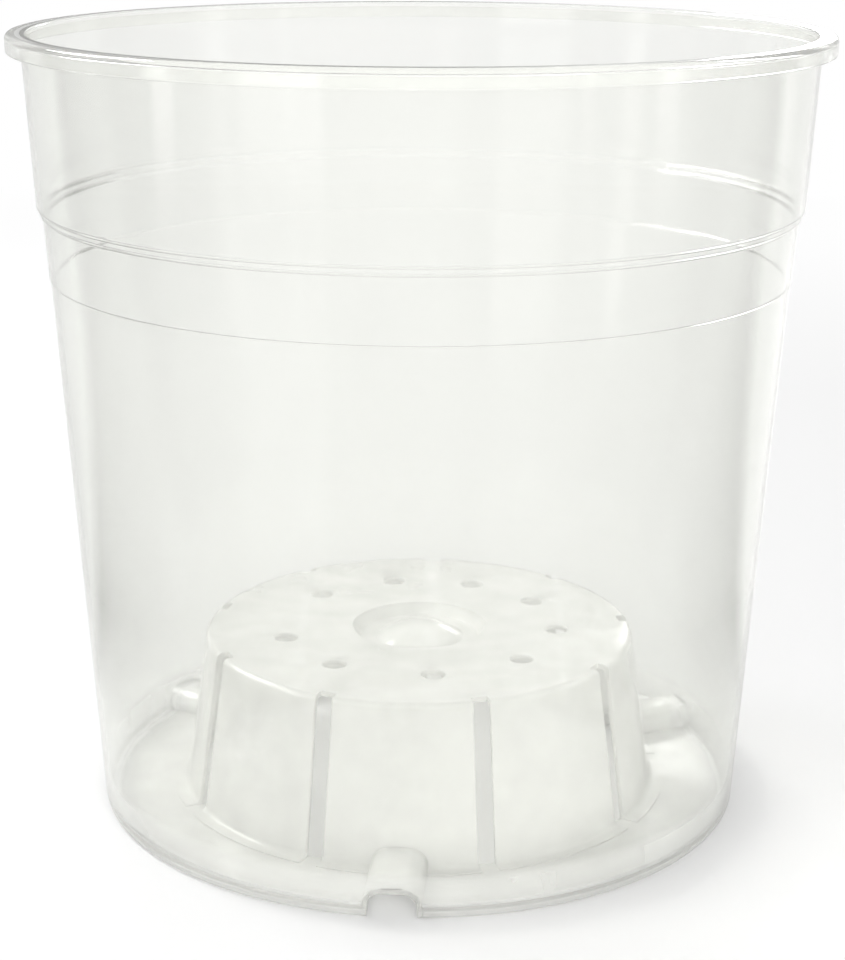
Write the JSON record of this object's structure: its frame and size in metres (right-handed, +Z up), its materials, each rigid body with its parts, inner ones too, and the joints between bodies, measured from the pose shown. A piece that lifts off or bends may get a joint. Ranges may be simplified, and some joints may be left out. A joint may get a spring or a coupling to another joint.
{
  "type": "orchid pot",
  "caption": "Clear tapered orchid pot with a rolled rim, a stacking shoulder, and a raised pedestal with air slots and drain holes over drain tunnels.",
  "frame": {"origin": "centre of the circle that the foot ring stands on, at the level of the ground", "axes": "+Z up along the pot's axis; the pictured front is -Y"},
  "size_m": [0.15, 0.15, 0.1474],
  "materials": {
    "clear_plastic": "clear, glossy moulded plastic with a slight milky haze"
  },
  "bodies": {
    "root": {"rim_lip": "clear_plastic", "upper_wall": "clear_plastic", "stacking_shoulder": "clear_plastic", "shoulder_band": "clear_plastic", "lower_wall": "clear_plastic", "base_ring": "clear_plastic", "drain_tunnel_1": "clear_plastic", "drain_tunnel_2": "clear_plastic", "drain_tunnel_3": "clear_plastic", "trough_floor_1": "clear_plastic", "trough_floor_2": "clear_plastic", "trough_floor_3": "clear_plastic", "skirt_panel_1": "clear_plastic", "skirt_panel_2": "clear_plastic", "skirt_panel_3": "clear_plastic", "skirt_panel_4": "clear_plastic", "skirt_panel_5": "clear_plastic", "skirt_panel_6": "clear_plastic", "skirt_panel_7": "clear_plastic", "skirt_panel_8": "clear_plastic", "skirt_panel_9": "clear_plastic", "pedestal_top": "clear_plastic", "center_dimple": "clear_plastic"}
  },
  "joints": []
}
